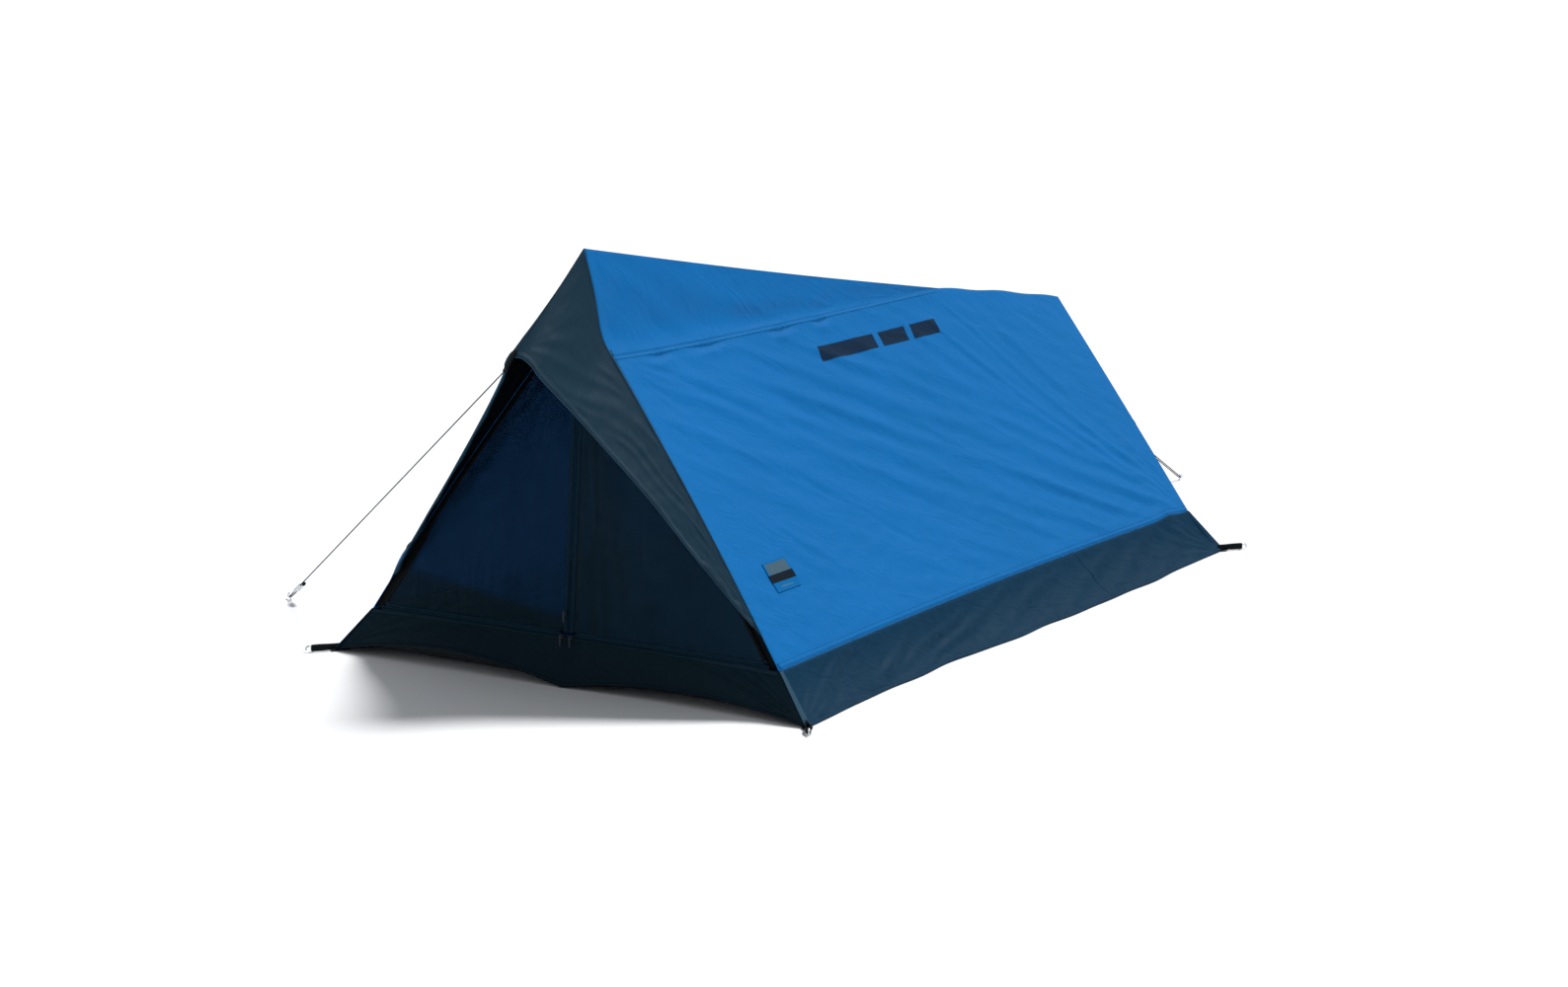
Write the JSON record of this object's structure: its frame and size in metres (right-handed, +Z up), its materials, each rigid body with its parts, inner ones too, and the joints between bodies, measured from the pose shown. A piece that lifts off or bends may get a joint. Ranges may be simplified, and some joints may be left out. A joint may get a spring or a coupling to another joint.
{
  "type": "ridge tent",
  "caption": "Small A-frame ridge tent with a dark floor tub, a front hood over a mesh door, a rear vent, upright poles, wire pegs and guy lines, pitched.",
  "frame": {"origin": "middle of the groundsheet's underside, at ground level", "axes": "+Z up, +Y from the door towards the low rear end, +X to the right as seen by someone facing the door"},
  "size_m": [1.6728, 2.9851, 1.0348],
  "materials": {
    "groundsheet_cloth": "woven polyethylene tarpaulin, dark grey",
    "tub_cloth": "coated woven floor cloth, dark blue-grey",
    "roof_cloth": "coated polyester taffeta, bright blue",
    "hood_cloth": "coated polyester taffeta, dark slate grey",
    "mesh": "fine black mosquito mesh",
    "zip_tape": "black zip tape and coil",
    "zip_metal": "black painted zinc",
    "black_plastic": "black moulded plastic",
    "pole_steel": "grey lacquered steel tube",
    "webbing": "black woven webbing",
    "peg_steel": "bright zinc-plated wire",
    "cord": "black braided cord",
    "runner_plastic": "pale grey moulded plastic",
    "label": "plain grey woven patch"
  },
  "bodies": {
    "tent_body": {"corner_loop_front_left": "webbing", "corner_loop_front_right": "webbing", "corner_loop_rear_left": "webbing", "corner_loop_rear_right": "webbing", "door_header": "hood_cloth", "door_toggles": "black_plastic", "front_guy_cord": "cord", "front_guy_tab": "webbing", "front_pole_foot_cup": "black_plastic", "front_pole_lower": "pole_steel", "front_pole_middle": "pole_steel", "front_pole_top_plug": "black_plastic", "front_pole_upper": "pole_steel", "groundsheet": "groundsheet_cloth", "guy_tie_knots": "cord", "hood_left": "hood_cloth", "hood_right": "hood_cloth", "pole_foot_patches": "tub_cloth", "rear_awning_left": "hood_cloth", "rear_awning_right": "hood_cloth", "rear_gable": "roof_cloth", "rear_guy_cord": "cord", "rear_guy_tab": "webbing", "rear_pole_foot_cup": "black_plastic", "rear_pole_lower": "pole_steel", "rear_pole_top_plug": "black_plastic", "rear_pole_upper": "pole_steel", "rear_vent_mesh": "mesh", "roof_main_left": "roof_cloth", "roof_main_right": "roof_cloth", "roof_peak_left": "roof_cloth", "roof_peak_right": "roof_cloth", "side_label": "label", "sill_zip_tape": "zip_tape", "tub_wall_front": "tub_cloth", "tub_wall_left": "tub_cloth", "tub_wall_rear": "tub_cloth", "tub_wall_right": "tub_cloth"},
    "door_right": {"door_mesh_right": "mesh", "door_zip_tape_right": "zip_tape"},
    "door_left": {"door_mesh_left": "mesh", "door_zip_tape_left": "zip_tape"},
    "slider_centre": {"zip_slider_centre": "zip_metal"},
    "pull_centre": {"zip_pull_centre": "zip_metal"},
    "slider_sill_right": {"zip_slider_sill_right": "zip_metal"},
    "pull_sill_right": {"zip_pull_sill_right": "zip_metal"},
    "slider_sill_left": {"zip_slider_sill_left": "zip_metal"},
    "pull_sill_left": {"zip_pull_sill_left": "zip_metal"},
    "peg_front_guy": {"peg_front_guy": "peg_steel"},
    "peg_front_left": {"peg_front_left": "peg_steel"},
    "peg_front_right": {"peg_front_right": "peg_steel"},
    "peg_rear_guy": {"peg_rear_guy": "peg_steel"},
    "peg_rear_left": {"peg_rear_left": "peg_steel"},
    "peg_rear_right": {"peg_rear_right": "peg_steel"},
    "front_runner": {"front_runner": "runner_plastic", "front_stopper_knot": "cord"},
    "rear_runner": {"rear_runner": "runner_plastic", "rear_stopper_knot": "cord"}
  },
  "joints": [
    {"name": "door_right_swing", "type": "hinge", "parent": "tent_body", "child": "door_right", "pos_m": [0.526, -0.973, 0.095], "axis": [-0.6055, 0.0656, 0.7931], "range_deg": [0, 50]},
    {"name": "door_left_swing", "type": "hinge", "parent": "tent_body", "child": "door_left", "pos_m": [-0.526, -0.973, 0.095], "axis": [-0.6055, -0.0656, -0.7931], "range_deg": [0, 50]},
    {"name": "zip_centre_slide", "type": "slide", "parent": "door_left", "child": "slider_centre", "axis": [0, 0.0832, 0.9965], "range_m": [0, 0.43]},
    {"name": "zip_pull_centre_swing", "type": "hinge", "parent": "slider_centre", "child": "pull_centre", "pos_m": [-0.0055, -0.98081, 0.1515], "axis": [-1, 0, 0], "range_deg": [0, 70]},
    {"name": "zip_sill_right_slide", "type": "slide", "parent": "tent_body", "child": "slider_sill_right", "axis": [1, 0, 0], "range_m": [0, 0.42]},
    {"name": "zip_pull_sill_right_swing", "type": "hinge", "parent": "slider_sill_right", "child": "pull_sill_right", "pos_m": [0.012, -0.98494, 0.102], "axis": [-1, 0, 0], "range_deg": [0, 70]},
    {"name": "zip_sill_left_slide", "type": "slide", "parent": "tent_body", "child": "slider_sill_left", "axis": [-1, 0, 0], "range_m": [0, 0.42]},
    {"name": "zip_pull_sill_left_swing", "type": "hinge", "parent": "slider_sill_left", "child": "pull_sill_left", "pos_m": [-0.012, -0.98494, 0.102], "axis": [-1, 0, 0], "range_deg": [0, 70]},
    {"name": "peg_front_guy_pull", "type": "slide", "parent": "tent_body", "child": "peg_front_guy", "axis": [0, 0, 1], "range_m": [0, 0.15]},
    {"name": "peg_front_left_pull", "type": "slide", "parent": "tent_body", "child": "peg_front_left", "axis": [0, 0, 1], "range_m": [0, 0.15]},
    {"name": "peg_front_right_pull", "type": "slide", "parent": "tent_body", "child": "peg_front_right", "axis": [0, 0, 1], "range_m": [0, 0.15]},
    {"name": "peg_rear_guy_pull", "type": "slide", "parent": "tent_body", "child": "peg_rear_guy", "axis": [0, 0, 1], "range_m": [0, 0.15]},
    {"name": "peg_rear_left_pull", "type": "slide", "parent": "tent_body", "child": "peg_rear_left", "axis": [0, 0, 1], "range_m": [0, 0.15]},
    {"name": "peg_rear_right_pull", "type": "slide", "parent": "tent_body", "child": "peg_rear_right", "axis": [0, 0, 1], "range_m": [0, 0.15]},
    {"name": "front_runner_slide", "type": "slide", "parent": "tent_body", "child": "front_runner", "axis": [0.7771, -0.3711, 0.5083], "range_m": [0, 0.3]},
    {"name": "rear_runner_slide", "type": "slide", "parent": "tent_body", "child": "rear_runner", "axis": [0.0794, -0.8988, 0.4311], "range_m": [0, 0.28]}
  ]
}
